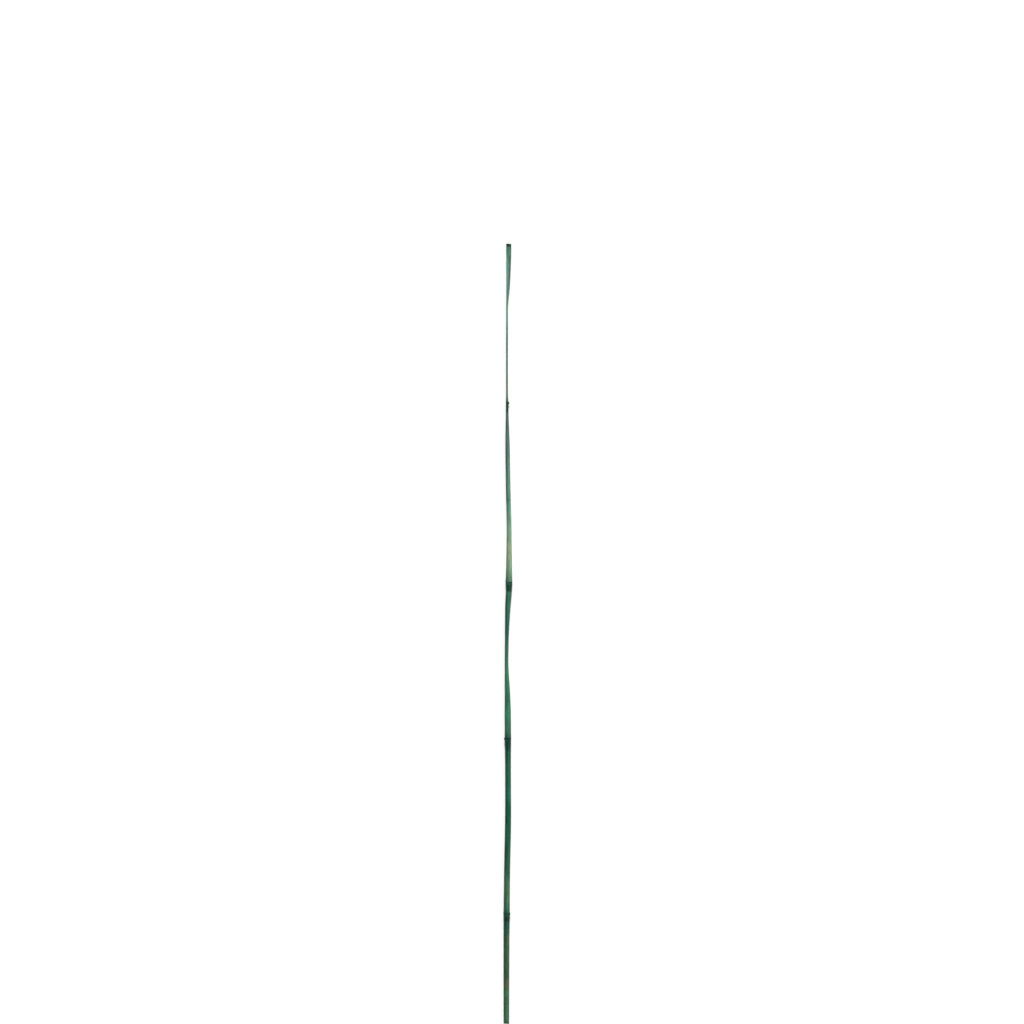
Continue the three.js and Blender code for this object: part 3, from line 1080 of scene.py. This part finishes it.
def pith_wall(colours, groups):
    """The wall of the hollow: dull pith with fibres running along it."""
    material, t, shader = new_material("pith_wall")
    place = t.attribute("grown", "Vector")
    fibre = use_group(t, groups["fibre"], Place=place, Contrast=0.5)
    patch = use_group(t, groups["patch"], Place=place, Shift=9.0, Level=0.5, Softness=0.2)
    stained = t.times(patch["Patch"], 0.6)
    colour = t.mix(stained, colours.hollow_wall, colours.joint_stain)
    t.feed(shader.inputs["Base Color"], t.toned(colour, fibre["Tone"]))
    t.feed(shader.inputs["Roughness"], t.times_plus(patch["Patch"], 0.1, 0.82))
    add_bump(t, shader, fibre["Height"], 0.5, 0.08 * MM)
    return material


def pale_floor(stage):
    """A smooth pale floor with a barely visible unevenness."""
    material, t, shader = new_material("pale_floor")
    where = t.add("ShaderNodeTexCoord").outputs["Object"]
    cloud = t.noise(t.stretched(where, 0.35, 0.35), detail=3.0)
    base = tuple(stage.floor_colour)
    soft = tuple(0.985 * x for x in base)
    t.feed(shader.inputs["Base Color"], t.mix(cloud, base, soft))
    shader.inputs["Roughness"].default_value = 0.9
    shader.inputs["Specular IOR Level"].default_value = 0.2
    return material


# ------------------------------------------------------------------------------------------------
# Operators


class BuildCane(Operator):
    """Build the whole cane, from its butt cut to its tip cut, in one piece"""

    bl_idname = "garden_cane.build_cane"
    bl_label = "Build cane"

    def execute(self, context):
        sizes = context.scene.cane_sizes
        colours = context.scene.cane_colours
        groups = {
            "fibre": fibre_group(),
            "patch": patch_group(),
            "speck": speck_group(),
            "bundle": bundle_group(),
        }
        cane = spun_stem(sizes)
        spun = shape_stem(cane, sizes)
        materials = [
            dyed_skin(colours, groups),
            sawn_wood(colours, groups),
            pith_wall(colours, groups),
        ]
        wear_materials(cane, spun, materials)
        lay_out_map(cane, spun)
        bpy.ops.object.select_all(action="DESELECT")
        cane.select_set(True)
        context.view_layer.objects.active = cane
        bpy.ops.object.shade_smooth_by_angle(angle=math.radians(38))
        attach(cane, "root")
        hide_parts(NODE)
        return {"FINISHED"}


class SetStage(Operator):
    """Set out the pale floor, the soft light and the camera that looks down on the cane"""

    bl_idname = "garden_cane.set_stage"
    bl_label = "Set stage"

    def execute(self, context):
        stage = context.scene.cane_stage
        scene = context.scene
        bpy.ops.object.select_all(action="DESELECT")
        bpy.ops.mesh.primitive_plane_add(size=FLOOR_SIZE, location=(0, 0, CANE_LOW.z))
        floor = context.active_object
        floor.name = "floor"
        bpy.ops.object.mode_set(mode="EDIT")
        bpy.ops.mesh.subdivide(number_cuts=7)
        bpy.ops.object.mode_set(mode="OBJECT")
        bpy.ops.object.transform_apply(location=True, rotation=True, scale=True)
        floor.data.materials.append(pale_floor(stage))

        # Soft lights over both ends keep the shadow under the cane. Each is given by how far it
        # stands from straight above, towards the tip and towards +X, in degrees.
        for tip_tilt, side_tilt, strength in (
            (62, 0, stage.tip_strength),
            (45, 0, stage.tip_strength),
            (-45, 0, stage.butt_strength),
            (0, 38, stage.side_strength),
        ):
            x, y = math.tan(math.radians(side_tilt)), math.tan(math.radians(tip_tilt))
            way = Vector((x, y, 1)).normalized()
            bpy.ops.object.light_add(type="SUN", location=way * LIGHT_AWAY)
            lamp = context.active_object
            lamp.name = "soft_light"
            lamp.data.energy = strength
            lamp.data.angle = math.radians(LIGHT_DISC)
            lamp.rotation_euler = way.to_track_quat("Z", "Y").to_euler()

        world = scene.world or bpy.data.worlds.new("studio")
        scene.world = world
        world.use_nodes = True
        world.node_tree.nodes.clear()
        t = Tree(world.node_tree)
        seen = t.add("ShaderNodeLightPath").outputs["Is Camera Ray"]
        fill = t.add("ShaderNodeBackground")
        fill.inputs["Color"].default_value = (1.0, 1.0, 1.0, 1.0)
        fill.inputs["Strength"].default_value = stage.fill_strength
        wall = t.add("ShaderNodeBackground")
        wall.inputs["Color"].default_value = (*stage.floor_colour, 1.0)
        wall.inputs["Strength"].default_value = WALL_STRENGTH
        either = t.add("ShaderNodeMixShader")
        t.feed(either.inputs[0], seen)
        t.feed(either.inputs[1], fill.outputs[0])
        t.feed(either.inputs[2], wall.outputs[0])
        t.feed(t.add("ShaderNodeOutputWorld").inputs["Surface"], either.outputs[0])

        scene.view_settings.view_transform = "Standard"
        scene.view_settings.look = "None"

        # The camera looks straight down, with the tip towards the top of the picture.
        middle = (CANE_LOW + CANE_HIGH) / 2
        away = Vector((AIM_ACROSS * MM, AIM_ALONG * MM, stage.frame_width * stage.lens / SENSOR))
        bpy.ops.object.camera_add(location=middle + away)
        camera = context.active_object
        camera.name = "camera"
        camera.rotation_euler = (0, 0, 0)
        camera.data.sensor_width = SENSOR
        camera.data.lens = stage.lens
        camera.data.clip_end = 100.0
        scene.camera = camera
        return {"FINISHED"}


class CanePanel(Panel):
    """Sizes, colours and stage of the garden cane"""

    bl_idname = "VIEW3D_PT_garden_cane"
    bl_label = "Garden cane"
    bl_space_type = "VIEW_3D"
    bl_region_type = "UI"
    bl_category = "Cane"

    def draw(self, context):
        layout = self.layout
        for title, group in (
            ("Sizes", context.scene.cane_sizes),
            ("Colours", context.scene.cane_colours),
            ("Stage", context.scene.cane_stage),
        ):
            box = layout.box()
            box.label(text=title)
            for name in group.bl_rna.properties.keys():
                if name not in ("rna_type", "name"):
                    box.prop(group, name)
        layout.operator(BuildCane.bl_idname)
        layout.operator(SetStage.bl_idname)


CLASSES = (CaneSizes, CaneColours, StageSettings, BuildCane, SetStage, CanePanel)


def register():
    for cls in CLASSES:
        bpy.utils.register_class(cls)
    bpy.types.Scene.cane_sizes = PointerProperty(type=CaneSizes)
    bpy.types.Scene.cane_colours = PointerProperty(type=CaneColours)
    bpy.types.Scene.cane_stage = PointerProperty(type=StageSettings)


def unregister():
    del bpy.types.Scene.cane_stage
    del bpy.types.Scene.cane_colours
    del bpy.types.Scene.cane_sizes
    for cls in reversed(CLASSES):
        bpy.utils.unregister_class(cls)


def main():
    register()
    bpy.ops.garden_cane.build_cane()
    bpy.ops.garden_cane.set_stage()


if __name__ == "__main__":
    main()
